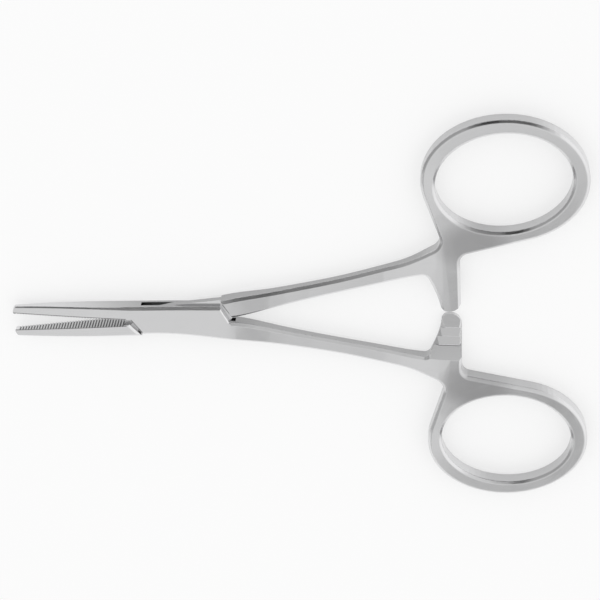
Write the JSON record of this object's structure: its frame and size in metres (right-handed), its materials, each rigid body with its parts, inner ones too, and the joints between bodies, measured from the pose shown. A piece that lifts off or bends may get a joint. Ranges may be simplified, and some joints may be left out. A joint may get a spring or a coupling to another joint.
{
  "type": "hemostat forceps",
  "caption": "Straight haemostatic forceps: box lock pivot, fine cross-serrated jaws, slim shanks, oval finger rings and facing ratchet arms that hold it clamped.",
  "frame": {"origin": "pivot axis where it meets the back faces of box and rings", "axes": "+X from the pivot to the finger rings along the line halfway between the two arms; +Y towards the ring of the inner arm; +Z out of the front face, along the pivot axis"},
  "size_m": [0.1001, 0.074, 0.0032],
  "materials": {
    "satin_steel": "satin brushed surgical stainless steel",
    "pin_steel": "pin ground flush with the box and brushed with it"
  },
  "bodies": {
    "box_side": {"box_arm": "satin_steel", "pivot_pin": "pin_steel"},
    "inner_side": {"inner_arm": "satin_steel"}
  },
  "joints": [
    {"name": "box_lock_pivot", "type": "hinge", "parent": "box_side", "child": "inner_side", "pos_m": [0, 0, 0.0016], "axis": [0, 0, 1], "range_deg": [-6, 54]}
  ]
}
